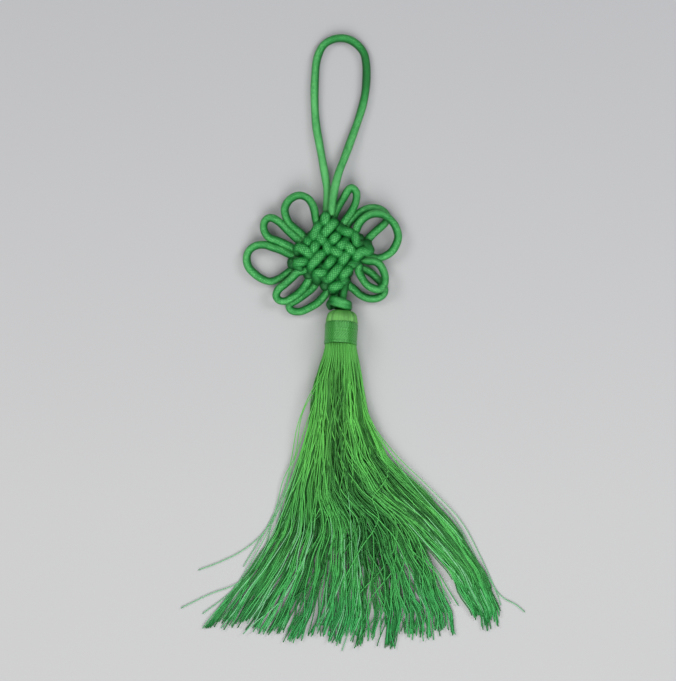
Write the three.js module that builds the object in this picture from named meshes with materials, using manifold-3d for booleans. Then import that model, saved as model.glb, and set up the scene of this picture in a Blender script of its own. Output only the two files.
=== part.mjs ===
// A silk tassel on a knotted cord, lying flat on a table.
// One round satin cord is tied into an endless knot: a square woven body with ten ears round it, a
// hanging loop at the top and two tails tied together at the bottom. The tails carry a tassel whose
// threads are bound under a rounded head and fan out over the table.
// Millimetres. +X is to the right, +Y towards the hanging loop, +Z up from the table at z = 0.

import * as THREE from "three";
import Module from "manifold-3d";
import { mergeVertices } from "three/addons/utils/BufferGeometryUtils.js";

const wasm = await Module();
wasm.setup();

// Driving dimensions

const CORD_RADIUS = 1.5;
const GAP = 0.3;

// The woven body is a lattice of crossings. One set of runs goes down to the right, the other down
// to the left. A row of the draft is one run down to the right, a letter is one crossing on it: r
// where that run lies on top, d where the run down to the left does.
const BODY_DRAFT = ["drrrrr", "ddddrd", "drdrdr", "rddddd", "rrdrdr", "ddrdrd"];
const BODY_CORNER = new THREE.Vector2(-9.8, 46.1);
const RIGHT_STEP = new THREE.Vector2(3.03, -1.97);
const LEFT_STEP = new THREE.Vector2(-2.37, -3.29);
const BODY_MIDDLE = 4.5;
const RUN_OVER = 3.4;
const RUN_UNDER = 0.9;
const RUN_AT_RIM = 0.4;
const PIT_DEPTH = 1.2;
const RIM_BULGE = 1.7;
const CORNER_DRAW = 0.2;
const POINTS_PER_CROSSING = 4;

// Each ear is one loop of the cord: it comes out of the body, runs to its tip and goes back in.
const EARS = [
  {
    name: "upper left",
    from: [-14.4, 39.0, 6.2], out: [-13.3, 45.2, 5.8], tip: [-19.7, 54.9, 4.0],
    back: [-24.8, 48.9, 3.6], to: [-17.6, 39.4, 4.4],
  },
  {
    name: "middle left",
    from: [-19.5, 38.1, 4.6], out: [-25.3, 43.3, 4.2], tip: [-32.1, 45.9, 3.4],
    back: [-30.6, 39.0, 3.6], to: [-20.5, 34.5, 4.4],
  },
  {
    name: "left corner",
    from: [-21.2, 32.3, 4.4], out: [-33.6, 36.6, 3.0], tip: [-39.2, 30.9, 2.0],
    back: [-33.6, 24.0, 1.9], to: [-20.4, 27.9, 3.0],
  },
  {
    name: "lower left, upper ear",
    from: [-18.6, 26.6, 5.6], out: [-24.2, 22.3, 5.2], tip: [-27.9, 17.1, 4.0],
    back: [-20.4, 18.0, 4.2], to: [-14.7, 25.5, 4.6],
  },
  {
    name: "lower left, lower ear",
    from: [-13.1, 22.9, 2.6], out: [-18.2, 17.1, 1.8], tip: [-23.1, 12.9, 1.6],
    back: [-15.6, 12.9, 2.2], to: [-9.2, 19.0, 3.4],
  },
  {
    name: "upper right",
    from: [-6.7, 47.6, 3.2], out: [-3.9, 53.8, 3.6], tip: [0.0, 58.1, 4.0],
    back: [1.8, 53.4, 4.2], to: [-3.3, 44.3, 4.8],
  },
  {
    name: "right corner",
    from: [1.7, 41.8, 6.4], out: [8.8, 48.0, 6.6], tip: [17.4, 39.6, 4.4],
    back: [12.3, 32.1, 3.4], to: [6.9, 32.1, 3.8],
  },
  {
    name: "right, inner ear",
    from: [-0.6, 45.2, 3.6], out: [5.7, 49.9, 2.6], tip: [13.3, 46.6, 2.2],
    back: [8.9, 41.4, 2.8], to: [4.3, 36.6, 3.6],
  },
  {
    name: "lower right, upper ear",
    from: [2.8, 27.9, 6.0], out: [3.9, 23.8, 6.2], tip: [10.7, 20.1, 5.6],
    back: [12.5, 24.6, 5.0], to: [6.9, 30.4, 4.4],
  },
  {
    name: "lower right, lower ear",
    from: [-0.6, 21.2, 4.2], out: [3.9, 17.4, 2.6], tip: [11.1, 17.1, 2.0],
    back: [12.2, 20.8, 1.9], to: [5.4, 27.9, 2.4],
  },
];
const EAR_SIDES = 6;
const EAR_STEPS = 17;
const EAR_ROOT = 4.2;
const EAR_ROOT_HEIGHT = 4.0;

// The hanging loop leaves the top corner of the body, lies down on the table and comes back.
const LOOP_ROUTE = [
  { x: -9.6, y: 50.1, z: 3.6 },
  { x: -9.0, y: 56.3, z: 3.0 },
  { x: -11.2, y: 69.5, z: 2.0 },
  { x: -13.6, y: 87.0, z: 1.5 },
  { x: -13.7, y: 98.0, z: 1.5 },
  { x: -12.6, y: 107.0, z: 1.5 },
  { x: -9.6, y: 111.9, z: 1.5 },
  { x: -3.9, y: 113.9, z: 1.5 },
  { x: 1.6, y: 111.9, z: 1.5 },
  { x: 4.9, y: 107.2, z: 1.5 },
  { x: 5.5, y: 99.4, z: 1.5 },
  { x: 4.2, y: 88.9, z: 1.5 },
  { x: -0.1, y: 75.9, z: 2.2 },
  { x: -4.6, y: 63.5, z: 4.6 },
  { x: -6.6, y: 56.3, z: 6.6 },
  { x: -7.3, y: 50.2, z: 7.2 },
];
const LOOP_SIDES = 8;
const LOOP_STEPS = 35;

// The tassel's head leans a little: its axis is level, at the height that lays the band on the table.
const HEAD_BASE = new THREE.Vector2(-4.1, 0.0);
const HEAD_LEAN = THREE.MathUtils.degToRad(3.2);
const HEAD_SEGMENTS = 24;
const HALF_SEGMENT = Math.PI / HEAD_SEGMENTS;
const BAND_RADIUS = 6.2;
const BAND_WALL = 0.75;
const BAND_LENGTH = 7.7;
const BAND_EDGE = 0.3;
const HEAD_AXIS_HEIGHT = BAND_RADIUS * Math.cos(HALF_SEGMENT);
const DOME_RADIUS = 6.05;
const DOME_TOP = 12.1;
const COLLAR_RADIUS = 5.9;
const COLLAR_LENGTH = 1.8;

// The tails' wraps sit on the head, a little aslant.
const WRAP_CENTRE = new THREE.Vector3(-4.1, 14.95, 5.8);
const WRAP_RADIUS = 4.1;
const WRAP_WAIST = 3.3;
const WRAP_PITCH = 2.4;
const WRAP_SLANT = THREE.MathUtils.degToRad(-4);
const TAILS = [
  { top: [-6.3, 18.8, 5.0], bottom: [-5.6, 16.0, 5.6] },
  { top: [-2.9, 18.8, 5.0], bottom: [-3.2, 16.0, 5.8] },
];

// The skirt, in rows from the head to the tips: its left and right edges, and how high the threads
// are piled. The last rows lie in one layer on the table.
const SKIRT_ROWS = [
  { left: -9.5, right: 2.3, pile: 11.0 },
  { left: -13.2, right: 4.4, pile: 9.8 },
  { left: -16.1, right: 7.4, pile: 8.6 },
  { left: -19.9, right: 13.0, pile: 7.0 },
  { left: -23.9, right: 21.3, pile: 5.2 },
  { left: -27.8, right: 32.9, pile: 4.0 },
  { left: -32.8, right: 42.4, pile: 2.4 },
  { left: -40.8, right: 50.6, pile: 0.0 },
  { left: -51.8, right: 56.2, pile: 0.0 },
];
const STRANDS = 100;
const STRAND_WIDTH = 0.6;
const STRAND_HEIGHT = 0.55;
const SKIRT_LENGTH = 114.5;
const EDGE_SHORTENING = 8.5;
const TIP_UNEVENNESS = 0.14;
const ROOT_DEPTH = 1.0;
const ROOT_RADIUS = 5.3;
const GOLDEN_STEP = (Math.sqrt(5) - 1) / 2;

// Where the fan of strands has parted near its tips, as a share of its width from the left.
const PARTINGS = [
  { at: 0.2, width: 0.018 },
  { at: 0.52, width: 0.014 },
  { at: 0.9, width: 0.036 },
];

// Strands that have strayed out of the fan, with the last points of their routes on the table.
const STRAYS = [
  { strand: 0, route: [[-34.6, -74.0], [-46.0, -81.0], [-57.6, -85.3]] },
  { strand: 1, route: [[-46.5, -91.0], [-64.1, -99.6]] },
  { strand: 99, route: [[53.6, -90.6], [65.1, -101.1]] },
];

// Shapes

// A curve whose cross-sections stay level: their first axis is horizontal, their second points up.
// No point of it dips under its lowest height, so what lies on the table lies flat.
class LevelCurve extends THREE.CatmullRomCurve3 {
  constructor(points, lowest) {
    super(points, false, "centripetal");
    this.lowest = lowest;
  }

  getPoint(place, target) {
    const point = super.getPoint(place, target);
    point.z = Math.max(point.z, this.lowest);
    return point;
  }

  computeFrenetFrames(segments) {
    const up = new THREE.Vector3(0, 0, 1);
    const frames = { tangents: [], normals: [], binormals: [] };
    for (let step = 0; step <= segments; step++) {
      const tangent = this.getTangentAt(step / segments);
      const side = up.clone().cross(tangent).normalize();
      frames.tangents.push(tangent);
      frames.normals.push(side);
      frames.binormals.push(tangent.clone().cross(side));
    }
    return frames;
  }
}

// A round cord's section as a polygon with a flat side down, as wide across its flats as the cord.
function cordSection(radius, sides) {
  const corner = radius / Math.cos(Math.PI / sides);
  const points = [];
  for (let side = 0; side < sides; side++) {
    const angle = -Math.PI / 2 + (side + 0.5) * (2 * Math.PI / sides);
    points.push(new THREE.Vector2(corner * Math.cos(angle), corner * Math.sin(angle)));
  }
  return new THREE.Shape(points);
}

function sweep(shape, points, steps, lowest) {
  const path = new LevelCurve(points, lowest);
  return new THREE.ExtrudeGeometry(shape, { steps, extrudePath: path, bevelEnabled: false });
}

function toSolid(geometry) {
  const bare = geometry.index ? geometry.toNonIndexed() : geometry.clone();
  bare.deleteAttribute("normal");
  bare.deleteAttribute("uv");
  const merged = mergeVertices(bare, 1e-4);
  const mesh = new wasm.Mesh({
    numProp: 3,
    vertProperties: new Float32Array(merged.attributes.position.array),
    triVerts: new Uint32Array(merged.index.array),
  });
  return new wasm.Manifold(mesh);
}

function toGeometry(solid) {
  const mesh = solid.getMesh();
  const geometry = new THREE.BufferGeometry();
  geometry.setAttribute("position", new THREE.BufferAttribute(new Float32Array(mesh.vertProperties), 3));
  geometry.setIndex(new THREE.BufferAttribute(new Uint32Array(mesh.triVerts), 1));
  geometry.computeVertexNormals();
  return geometry;
}

function joined(solids) {
  return solids.reduce((whole, solid) => whole.add(solid));
}

// The woven body

// The height of one run's middle above the body's mid-plane, along its crossings. It swings between
// over and under, and comes down to the rim at both ends, where it turns round to the other face.
function runHeight(isOver, place) {
  const last = BODY_DRAFT.length - 1;
  const at = (crossing) => {
    if (crossing < 0 || crossing > last) {
      return RUN_AT_RIM;
    }
    return isOver(crossing) ? RUN_OVER : RUN_UNDER;
  };
  const before = Math.floor(place);
  const swing = (1 - Math.cos(Math.PI * (place - before))) / 2;
  return THREE.MathUtils.lerp(at(before), at(before + 1), swing);
}

// How far a round cord's surface stands above its middle, at a distance to the side of it.
function cordBulge(distance) {
  return distance < CORD_RADIUS ? Math.sqrt(CORD_RADIUS ** 2 - distance ** 2) : -Infinity;
}

function weaveHeight(alongRight, alongLeft) {
  const last = BODY_DRAFT.length - 1;
  const row = THREE.MathUtils.clamp(Math.round(alongLeft), 0, last);
  const column = THREE.MathUtils.clamp(Math.round(alongRight), 0, last);
  const rightRun = runHeight((crossing) => BODY_DRAFT[row][crossing] === "r", alongRight)
    + cordBulge(Math.abs(alongLeft - row) * LEFT_STEP.length());
  const leftRun = runHeight((crossing) => BODY_DRAFT[crossing][column] === "d", alongLeft)
    + cordBulge(Math.abs(alongRight - column) * RIGHT_STEP.length());
  return Math.max(rightRun, leftRun, PIT_DEPTH);
}

function bodyCentre() {
  const middle = (BODY_DRAFT.length - 1) / 2;
  return BODY_CORNER.clone().addScaledVector(RIGHT_STEP, middle).addScaledVector(LEFT_STEP, middle);
}

// A box whose points are moved onto the weave. Its walls bulge out where a run turns round the rim,
// its corners are drawn in, and its lumps are flat underneath where they lie on the table.
function wovenBody() {
  const count = BODY_DRAFT.length;
  const divisions = count * POINTS_PER_CROSSING;
  const box = new THREE.BoxGeometry(1, 1, 1, divisions, divisions, 4);
  const position = box.attributes.position;
  const rightWay = RIGHT_STEP.clone().normalize();
  const leftWay = LEFT_STEP.clone().normalize();
  for (let index = 0; index < position.count; index++) {
    const across = position.getX(index);
    const down = -position.getY(index);
    const side = 2 * position.getZ(index);
    const alongRight = (across + 0.5) * count - 0.5;
    const alongLeft = (down + 0.5) * count - 0.5;
    const place = BODY_CORNER.clone()
      .addScaledVector(RIGHT_STEP, alongRight)
      .addScaledVector(LEFT_STEP, alongLeft);
    const bulge = RIM_BULGE * Math.sqrt(1 - side * side);
    const onRightWall = Math.abs(across) > 0.499;
    const onLeftWall = Math.abs(down) > 0.499;
    if (onRightWall) {
      place.addScaledVector(rightWay, Math.sign(across) * bulge * Math.cos(Math.PI * alongLeft) ** 2);
    }
    if (onLeftWall) {
      place.addScaledVector(leftWay, Math.sign(down) * bulge * Math.cos(Math.PI * alongRight) ** 2);
    }
    place.lerp(bodyCentre(), CORNER_DRAW * (4 * across * down) ** 4);
    const height = BODY_MIDDLE + side * weaveHeight(alongRight, alongLeft);
    position.setXYZ(index, place.x, place.y, Math.max(height, 0));
  }
  return toSolid(box);
}

// The cord's place inside the body, a little way in from where it crosses the rim.
function rootInBody(end) {
  const inward = bodyCentre().sub(new THREE.Vector2(end.x, end.y)).setLength(EAR_ROOT);
  return new THREE.Vector3(end.x + inward.x, end.y + inward.y, EAR_ROOT_HEIGHT);
}

function ear(row) {
  const points = [row.from, row.out, row.tip, row.back, row.to];
  const route = points.map(([x, y, z]) => new THREE.Vector3(x, y, z));
  const whole = [rootInBody(route[0]), ...route, rootInBody(route[route.length - 1])];
  return toSolid(sweep(cordSection(CORD_RADIUS, EAR_SIDES), whole, EAR_STEPS, CORD_RADIUS));
}

function knotGeometry() {
  return toGeometry(joined([wovenBody(), ...EARS.map(ear)]));
}

// The hanging loop

function loopGeometry() {
  const route = LOOP_ROUTE.map(({ x, y, z }) => new THREE.Vector3(x, y, z));
  return sweep(cordSection(CORD_RADIUS, LOOP_SIDES), route, LOOP_STEPS, CORD_RADIUS);
}

// The tail knot

function tailKnotGeometry() {
  const end = WRAP_PITCH + 0.1;
  const profile = [
    [0, -end], [2.6, -end], [3.7, -WRAP_PITCH + 0.4], [WRAP_RADIUS, -WRAP_PITCH / 2],
    [3.8, -0.45], [WRAP_WAIST, 0], [3.8, 0.45],
    [WRAP_RADIUS, WRAP_PITCH / 2], [3.7, WRAP_PITCH - 0.4], [2.6, end], [0, end],
  ].map(([radius, along]) => new THREE.Vector2(radius, along));
  const wraps = new THREE.LatheGeometry(profile, 16);
  wraps.rotateZ(WRAP_SLANT);
  wraps.translate(WRAP_CENTRE.x, WRAP_CENTRE.y, WRAP_CENTRE.z);
  const tails = TAILS.map(({ top, bottom }) => {
    const route = [new THREE.Vector3(...top), new THREE.Vector3(...bottom)];
    return toSolid(sweep(cordSection(CORD_RADIUS, EAR_SIDES), route, 3, CORD_RADIUS));
  });
  return toGeometry(joined([toSolid(wraps), ...tails]));
}

// The head and its band, turned round an axis along Y

function turned(rows) {
  const profile = rows.map(([radius, along]) => new THREE.Vector2(radius, along));
  return new THREE.LatheGeometry(profile, HEAD_SEGMENTS, HALF_SEGMENT);
}

function bandGeometry() {
  const inner = BAND_RADIUS - BAND_WALL;
  return turned([
    [inner, 0],
    [BAND_RADIUS - BAND_EDGE, 0],
    [BAND_RADIUS, BAND_EDGE],
    [BAND_RADIUS, BAND_LENGTH - BAND_EDGE],
    [BAND_RADIUS - BAND_EDGE, BAND_LENGTH],
    [inner, BAND_LENGTH],
    [inner, 0],
  ]);
}

function headGeometry() {
  const neck = BAND_RADIUS - BAND_WALL - GAP;
  const domeFoot = BAND_LENGTH + GAP;
  return turned([
    [0, -GAP - COLLAR_LENGTH],
    [COLLAR_RADIUS - 0.4, -GAP - COLLAR_LENGTH],
    [COLLAR_RADIUS, -GAP - COLLAR_LENGTH + 0.4],
    [COLLAR_RADIUS, -GAP],
    [neck, -GAP],
    [neck, domeFoot],
    [DOME_RADIUS, domeFoot],
    [DOME_RADIUS - 0.2, domeFoot + 0.9],
    [DOME_RADIUS - 0.75, domeFoot + 2.1],
    [DOME_RADIUS - 1.6, domeFoot + 3.2],
    [DOME_RADIUS - 3.0, DOME_TOP - 0.2],
    [0, DOME_TOP],
  ]);
}

// The skirt

// The place from -1 to 1 across a disc that has the given share of the disc's area to its left.
function discPlace(share) {
  let low = -1;
  let high = 1;
  for (let pass = 0; pass < 24; pass++) {
    const middle = (low + high) / 2;
    const area = 0.5 + (middle * Math.sqrt(1 - middle * middle) + Math.asin(middle)) / Math.PI;
    if (area < share) {
      low = middle;
    } else {
      high = middle;
    }
  }
  return (low + high) / 2;
}

function headPoint(across, along, up) {
  const x = HEAD_BASE.x + across * Math.cos(HEAD_LEAN) + along * Math.sin(HEAD_LEAN);
  const y = HEAD_BASE.y + along * Math.cos(HEAD_LEAN) - across * Math.sin(HEAD_LEAN);
  return new THREE.Vector3(x, y, HEAD_AXIS_HEIGHT + up);
}

// A strand's share of the skirt's width, from the left, with the partings opened by the given part.
function partedShare(share, opening) {
  let moved = share;
  let whole = 1;
  for (const { at, width } of PARTINGS) {
    moved += opening * width * THREE.MathUtils.smoothstep(share, at - 0.008, at + 0.008);
    whole += opening * width;
  }
  return moved / whole;
}

// The strands are numbered from left to right. Each has its own level in the pile, a golden-ratio
// step above the last one's, so that neighbours never meet, however flat the pile becomes.
function strandRoute(number) {
  const share = (number + 0.5) / STRANDS;
  const level = (number * GOLDEN_STEP) % 1;
  const across = discPlace(share);
  const chord = Math.sqrt(1 - across * across);
  const rootUp = 2 * ROOT_RADIUS * chord * (level - 0.5) - STRAND_HEIGHT / 2;
  const root = headPoint(ROOT_RADIUS * across, -GAP - ROOT_DEPTH, rootUp);
  const fromMiddle = 2 * share - 1;
  const reach = SKIRT_LENGTH - EDGE_SHORTENING * fromMiddle ** 2;
  const route = [root];
  const last = SKIRT_ROWS.length - 1;
  for (let row = 1; row <= last; row++) {
    const { left, right, pile } = SKIRT_ROWS[row];
    const x = THREE.MathUtils.lerp(left, right, partedShare(share, (row / last) ** 3));
    route.push(new THREE.Vector3(x, -reach * row / last, level * pile));
  }
  const lastStretch = 1 + TIP_UNEVENNESS * Math.sin(number * 2.4) * Math.sin(number * 0.9);
  route[last].lerpVectors(route[last - 1], route[last].clone(), lastStretch);
  const stray = STRAYS.find(({ strand }) => strand === number);
  if (stray) {
    const points = stray.route.map(([x, y]) => new THREE.Vector3(x, y, 0));
    route.splice(route.length - points.length, points.length, ...points);
  }
  return route;
}

function strandShape() {
  return new THREE.Shape([
    new THREE.Vector2(-STRAND_WIDTH / 2, 0),
    new THREE.Vector2(STRAND_WIDTH / 2, 0),
    new THREE.Vector2(0, STRAND_HEIGHT),
  ]);
}

function tasselGeometry() {
  const head = headGeometry();
  head.rotateZ(-HEAD_LEAN);
  head.translate(HEAD_BASE.x, HEAD_BASE.y, HEAD_AXIS_HEIGHT);
  const shape = strandShape();
  const strands = [];
  for (let number = 0; number < STRANDS; number++) {
    strands.push(toSolid(sweep(shape, strandRoute(number), SKIRT_ROWS.length - 1, 0)));
  }
  return toGeometry(joined([toSolid(head), ...strands]));
}

// The scene

const cordSilk = new THREE.MeshStandardMaterial({ color: 0x2d964b, roughness: 0.45, metalness: 0 });
const loopSilk = cordSilk.clone();
const tailSilk = cordSilk.clone();
const threadSilk = new THREE.MeshStandardMaterial({ color: 0x4f9f46, roughness: 0.5, metalness: 0 });
const bandSilk = new THREE.MeshStandardMaterial({ color: 0x3f8f3f, roughness: 0.42, metalness: 0 });

function named(name, geometry, material) {
  const mesh = new THREE.Mesh(geometry, material);
  mesh.name = name;
  return mesh;
}

const tassel = new THREE.Group();
tassel.add(named("woven_knot", knotGeometry(), cordSilk));
tassel.add(named("hanging_loop", loopGeometry(), loopSilk));
tassel.add(named("tail_knot", tailKnotGeometry(), tailSilk));
tassel.add(named("thread_tassel", tasselGeometry(), threadSilk));

const band = new THREE.Group();
band.position.set(HEAD_BASE.x, HEAD_BASE.y, HEAD_AXIS_HEIGHT);
band.rotation.z = -HEAD_LEAN;
band.add(named("neck_band", bandGeometry(), bandSilk));
tassel.add(band);

export default tassel;
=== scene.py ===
# A silk tassel on a knotted cord, lying flat on a table and seen from straight above.
# The cord comes first, because the loop, the woven body, the ears and the tails are all one cord;
# then the tassel's head, its binding and its threads; then the table, the light and the camera.

import math
import random

import bpy
import numpy as np
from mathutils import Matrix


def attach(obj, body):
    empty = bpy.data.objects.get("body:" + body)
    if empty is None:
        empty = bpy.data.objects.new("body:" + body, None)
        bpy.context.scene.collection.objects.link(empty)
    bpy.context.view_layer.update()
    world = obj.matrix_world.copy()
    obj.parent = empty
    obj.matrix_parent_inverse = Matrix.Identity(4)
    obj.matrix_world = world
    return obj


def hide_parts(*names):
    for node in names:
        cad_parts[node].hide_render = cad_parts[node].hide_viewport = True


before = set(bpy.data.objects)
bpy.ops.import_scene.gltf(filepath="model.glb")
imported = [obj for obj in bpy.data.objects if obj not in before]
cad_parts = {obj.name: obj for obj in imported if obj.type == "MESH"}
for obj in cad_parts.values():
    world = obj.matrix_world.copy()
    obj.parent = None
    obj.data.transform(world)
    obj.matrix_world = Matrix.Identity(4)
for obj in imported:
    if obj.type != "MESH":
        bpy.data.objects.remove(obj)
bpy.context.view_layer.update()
bpy.ops.object.select_all(action="DESELECT")


# The hanging loop
# The middle of the cord stands out of the top of the knot as one long loop. The cord is braided
# satin, 3 mm thick. Its far end lies on the table, and it rises to the height of the knot's body.

MM = 0.001
CORD_RADIUS = 1.5
CORD_SIDES = 18
CORD_STEP = 0.6
SPLINE_SAMPLES = 20
TABLE_CLEARANCE = 0.02
LOOP_ROUTE = [
    (-9.4, 47.6, 3.6), (-9.2, 50.6, 3.4), (-9.0, 56.3, 3.0), (-10.1, 63.5, 2.4), (-11.8, 73.1, 1.9),
    (-13.2, 81.2, 1.6), (-13.8, 90.3, 1.5), (-13.7, 97.9, 1.5), (-12.8, 106.4, 1.5),
    (-10.5, 111.2, 1.5), (-7.3, 113.3, 1.5), (-3.9, 113.9, 1.5), (-0.5, 113.2, 1.5),
    (2.5, 111.1, 1.5), (4.7, 108.0, 1.5), (5.5, 104.0, 1.5), (5.6, 99.4, 1.5), (5.2, 94.1, 1.5),
    (4.2, 88.9, 1.5), (2.3, 82.7, 1.7), (-0.1, 75.9, 2.2), (-2.5, 69.3, 3.2), (-4.7, 63.5, 4.6),
    (-6.1, 58.2, 6.0), (-7.0, 53.4, 7.0), (-7.4, 50.0, 7.1), (-7.6, 47.8, 6.2),
]
SATIN_DARK = (0.002, 0.090, 0.014, 1.0)
SATIN_MIDDLE = (0.012, 0.290, 0.045, 1.0)
SATIN_LIGHT = (0.150, 0.620, 0.190, 1.0)
SWELLS = (0.0, 1.0, -0.6, 0.5, -1.0, 0.2, 0.9, -0.8, 0.0)
SWELL_PACE = 0.11

# Each of these four gives places, and then the painted light and shade there: by height on the cord,
# by how far its side faces the loop's middle, along the loop, and how much facing counts as the loop
# opens.
FLANKS = ((-1.0, 0.0, 0.45, 0.85), (0.35, 0.50, 0.98, 1.18))
FACING_IN = ((0.0, 0.75), (1.0, 0.32))
LOOP_LIGHT_AND_SHADE = (
    (0.0, 0.20, 0.40, 0.47, 0.54, 0.58, 0.65, 0.70, 0.80, 1.0),
    (1.45, 1.4, 1.25, 0.85, 0.75, 0.42, 0.42, 1.0, 1.3, 1.45),
)
LOOP_OPENS = ((58.0, 92.0), (0.0, 1.0))
LOOP_MIDDLE = (-4.2, 98.0)
BRAID_YARNS = 11
BRAID_PITCH = 3.6
BRAID_DEPTH = 0.16
SATIN_ROUGHNESS = 0.54


def unit(vectors):
    """The vectors at length one."""
    return vectors / np.linalg.norm(vectors, axis=-1, keepdims=True)


def spline(points, step, closed=False):
    """Evenly spaced points along a smooth curve through the given ones."""
    anchors = np.array(points, float)
    if closed:
        padded = np.vstack([anchors[-1:], anchors, anchors[:2]])
    else:
        padded = np.vstack([2 * anchors[0] - anchors[1], anchors, 2 * anchors[-1] - anchors[-2]])
    stretches = []
    for a, b, c, d in zip(padded, padded[1:], padded[2:], padded[3:]):
        strides = np.sqrt(np.linalg.norm([b - a, c - b, d - c], axis=1))
        t1, t2, t3 = np.cumsum(strides)
        t = np.linspace(t1, t2, SPLINE_SAMPLES, endpoint=False)[:, None]
        ab = (a * (t1 - t) + b * t) / t1
        bc = (b * (t2 - t) + c * (t - t1)) / (t2 - t1)
        cd = (c * (t3 - t) + d * (t - t2)) / (t3 - t2)
        abc = (ab * (t2 - t) + bc * t) / t2
        bcd = (bc * (t3 - t) + cd * (t - t1)) / (t3 - t1)
        stretches.append((abc * (t2 - t) + bcd * (t - t1)) / (t2 - t1))
    stretches.append(anchors[:1] if closed else anchors[-1:])
    dense = np.vstack(stretches)
    travelled = np.append(0, np.cumsum(np.linalg.norm(np.diff(dense, axis=0), axis=1)))
    count = max(3, round(travelled[-1] / step) + 1)
    places = np.linspace(0, travelled[-1], count)
    even = np.column_stack([np.interp(places, travelled, dense[:, axis]) for axis in range(3)])
    return even[:-1] if closed else even


def skin(route, wide, tall, sides, across=None, closed=False, uneven=0.05):
    """The points, faces and face-corner UVs of a cord round a route, all in millimetres.

    The UVs run once round the cord, and along it in cord diameters. Nothing dips under the table.
    The cord is a little thicker here and thinner there.
    """
    if closed:
        ahead = unit(np.roll(route, -1, axis=0) - np.roll(route, 1, axis=0))
    else:
        ahead = unit(np.gradient(route, axis=0))
    if across is None:
        across = np.cross((0.0, 0.0, 1.0), ahead)
    across = unit(across - np.sum(across * ahead, axis=1, keepdims=True) * ahead)
    over = np.cross(ahead, across)
    angles = np.linspace(0, 2 * math.pi, sides, endpoint=False)[None, :, None]
    swell_places = np.arange(len(route)) * SWELL_PACE % (len(SWELLS) - 1)
    swell = 1 + uneven * np.interp(swell_places, range(len(SWELLS)), SWELLS)[:, None, None]
    offsets = wide * np.cos(angles) * across[:, None] + tall * np.sin(angles) * over[:, None]
    points = (route[:, None] + offsets * swell).reshape(-1, 3)
    points[:, 2] = np.maximum(points[:, 2], TABLE_CLEARANCE)
    count = len(route)
    strides = np.linalg.norm(np.diff(route, axis=0, append=route[:1]), axis=1) / (2 * wide)
    along = np.append(0, np.cumsum(strides))
    faces, corners = [], []
    for step in range(count if closed else count - 1):
        after = (step + 1) % count
        for side in range(sides):
            beside = (side + 1) % sides
            here, there = step * sides, after * sides
            faces.append((here + side, here + beside, there + beside, there + side))
            left, right = side / sides, (side + 1) / sides
            corners += [
                (left, along[step]), (right, along[step]),
                (right, along[step + 1]), (left, along[step + 1]),
            ]
    if not closed:
        faces.append(tuple(range(sides - 1, -1, -1)))
        faces.append(tuple(range((count - 1) * sides, count * sides)))
        corners += [(0.5, 0.0)] * sides + [(0.5, along[count - 1])] * sides
    return points, faces, corners


def cord_skin(route, radius=CORD_RADIUS):
    """The skin of a round cord along a smooth route."""
    return skin(spline(route, CORD_STEP), radius, radius, CORD_SIDES)


def piece_of(name, skins):
    """One object of several skins, shaded smooth, with their UVs, in metres."""
    points, faces, corners, first = [], [], [], 0
    for skin_points, skin_faces, skin_corners in skins:
        points.append(skin_points * MM)
        faces += [tuple(first + index for index in face) for face in skin_faces]
        corners += skin_corners
        first += len(skin_points)
    mesh = bpy.data.meshes.new(name)
    mesh.from_pydata(np.vstack(points).tolist(), [], faces)
    layer = mesh.uv_layers.new(name="UVMap")
    layer.data.foreach_set("uv", np.array(corners, np.float32).ravel())
    mesh.polygons.foreach_set("use_smooth", [True] * len(mesh.polygons))
    mesh.update()
    made = bpy.data.objects.new(name, mesh)
    bpy.context.scene.collection.objects.link(made)
    return made


class Socket:
    """An output in a material's nodes. Sums and products of it add Math nodes."""

    def __init__(self, tree, output):
        self.tree = tree
        self.output = output

    def node(self, kind, settings=(), inputs=(), output=0):
        """Adds a node with these settings and these socket values or links, and gives an output."""
        made = self.tree.nodes.new(kind)
        for name, value in dict(settings).items():
            if name == "stops":
                ramp = made.color_ramp.elements
                while len(ramp) < len(value):
                    ramp.new(0.5)
                for element, (place, colour) in zip(ramp, value):
                    element.position = place
                    element.color = colour
            else:
                setattr(made, name, value)
        for name, value in dict(inputs).items():
            if isinstance(value, Socket):
                self.tree.links.new(value.output, made.inputs[name])
            else:
                made.inputs[name].default_value = value
        return Socket(self.tree, made.outputs[output])

    def math(self, operation, *others):
        """A Math node on this value and the others."""
        inputs = {place: value for place, value in enumerate((self, *others))}
        return self.node("ShaderNodeMath", {"operation": operation}, inputs)

    def __add__(self, other):
        return self.math("ADD", other)

    def __radd__(self, other):
        return self.math("ADD", other)

    def __sub__(self, other):
        return self.math("SUBTRACT", other)

    def __rsub__(self, other):
        return (self * -1.0).math("ADD", other)

    def __mul__(self, other):
        return self.math("MULTIPLY", other)

    def __rmul__(self, other):
        return self.math("MULTIPLY", other)

    def __pow__(self, other):
        return self.math("POWER", other)

    def mixed(self, first, second):
        """The two colours mixed by this amount."""
        settings = {"data_type": "RGBA", "clamp_factor": True}
        inputs = {"Factor": self, 6: first, 7: second}
        return self.node("ShaderNodeMix", settings, inputs, output=2)


def new_material(name, **constants):
    """A material, its surface shader with the given socket values, and a first socket to work from."""
    material = bpy.data.materials.new(name)
    material.use_nodes = True
    surface = material.node_tree.nodes["Principled BSDF"]
    for socket, value in constants.items():
        surface.inputs[socket.replace("_", " ")].default_value = value
    return material, surface, Socket(material.node_tree, None)


def connect(surface, **sockets):
    """Links sockets to the named inputs of the surface shader."""
    for name, value in sockets.items():
        value.tree.links.new(value.output, surface.inputs[name.replace("_", " ")])


def uv_parts(base):
    """The two numbers of the piece's own UV map: round the cord, and along it."""
    uv = base.node("ShaderNodeUVMap", {"uv_map": "UVMap"})
    around = base.node("ShaderNodeSeparateXYZ", {}, {0: uv})
    return around, Socket(around.tree, around.output.node.outputs[1])


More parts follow.
